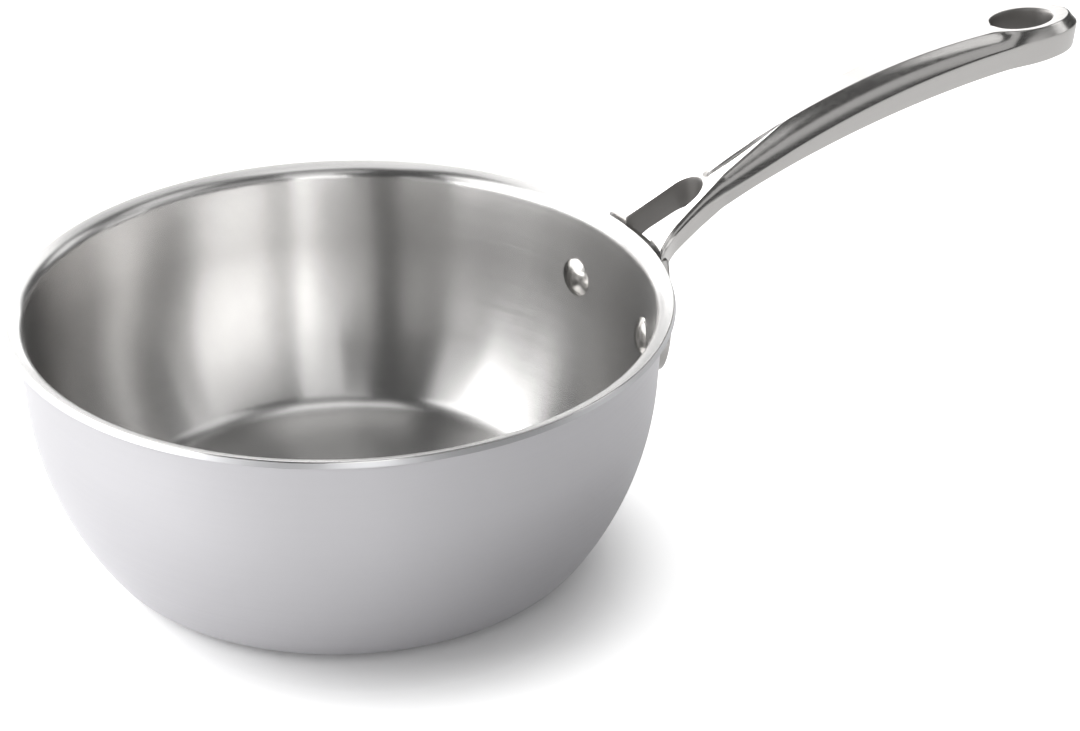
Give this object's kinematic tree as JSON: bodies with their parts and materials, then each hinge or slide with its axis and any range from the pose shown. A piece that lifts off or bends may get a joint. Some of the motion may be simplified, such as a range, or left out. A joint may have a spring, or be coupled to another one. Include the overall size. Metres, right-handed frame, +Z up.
{
  "type": "saucier pan",
  "caption": "Clad steel saucier pan with a curved bowl, a flared pouring lip and an arched, forked cast handle riveted to the wall, with an oval hanging hole at its tip.",
  "frame": {"origin": "centre of the flat base, on the surface that the pan stands on", "axes": "+Z up out of the bowl's mouth, +X from the bowl's axis along the handle towards its tip"},
  "size_m": [0.3819, 0.2128, 0.1372],
  "materials": {
    "outer_steel": "satin, brushed round the bowl",
    "core_aluminium": "bare, seen only as a line in the lip's edge",
    "liner_steel": "fine brushed",
    "handle_steel": "cast and polished",
    "rivet_steel": "polished"
  },
  "bodies": {
    "root": {"outer_shell": "outer_steel", "aluminium_core": "core_aluminium", "inner_liner": "liner_steel", "handle": "handle_steel", "handle_rivets": "rivet_steel"}
  },
  "joints": []
}
